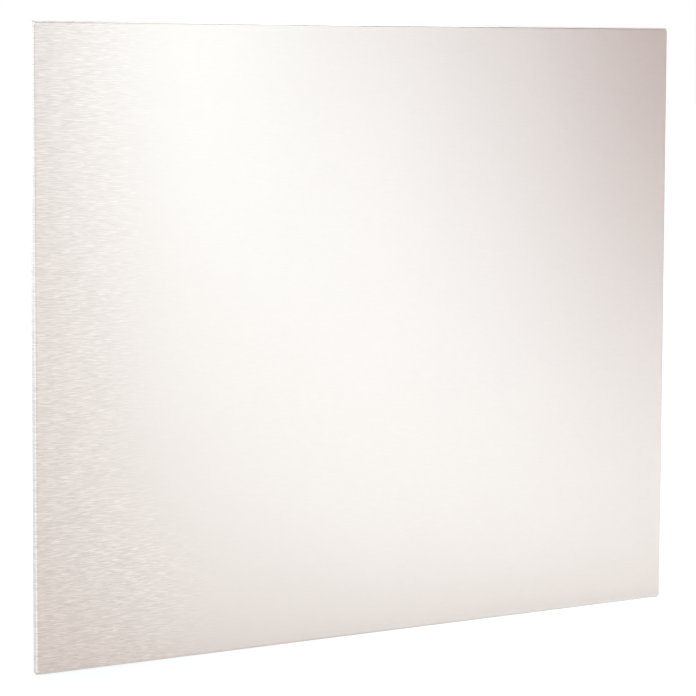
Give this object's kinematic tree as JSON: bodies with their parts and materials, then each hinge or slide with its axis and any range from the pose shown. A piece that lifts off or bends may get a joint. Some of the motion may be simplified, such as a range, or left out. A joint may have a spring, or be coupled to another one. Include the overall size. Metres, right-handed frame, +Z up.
{
  "type": "stainless steel splashback",
  "caption": "Rectangular brushed stainless steel wall panel, folded back along all four edges into a shallow tray, that guards the wall behind a hob.",
  "frame": {"origin": "middle of the sheet's rear face, which is bonded to the wall", "axes": "+X along the width, +Y towards the wall, out of the rear face, +Z up, with the front facing -Y"},
  "size_m": [0.9, 0.008, 0.75],
  "materials": {
    "brushed_stainless": "brushed, with the grain along the width"
  },
  "bodies": {
    "root": {"splashback_panel": "brushed_stainless"}
  },
  "joints": []
}
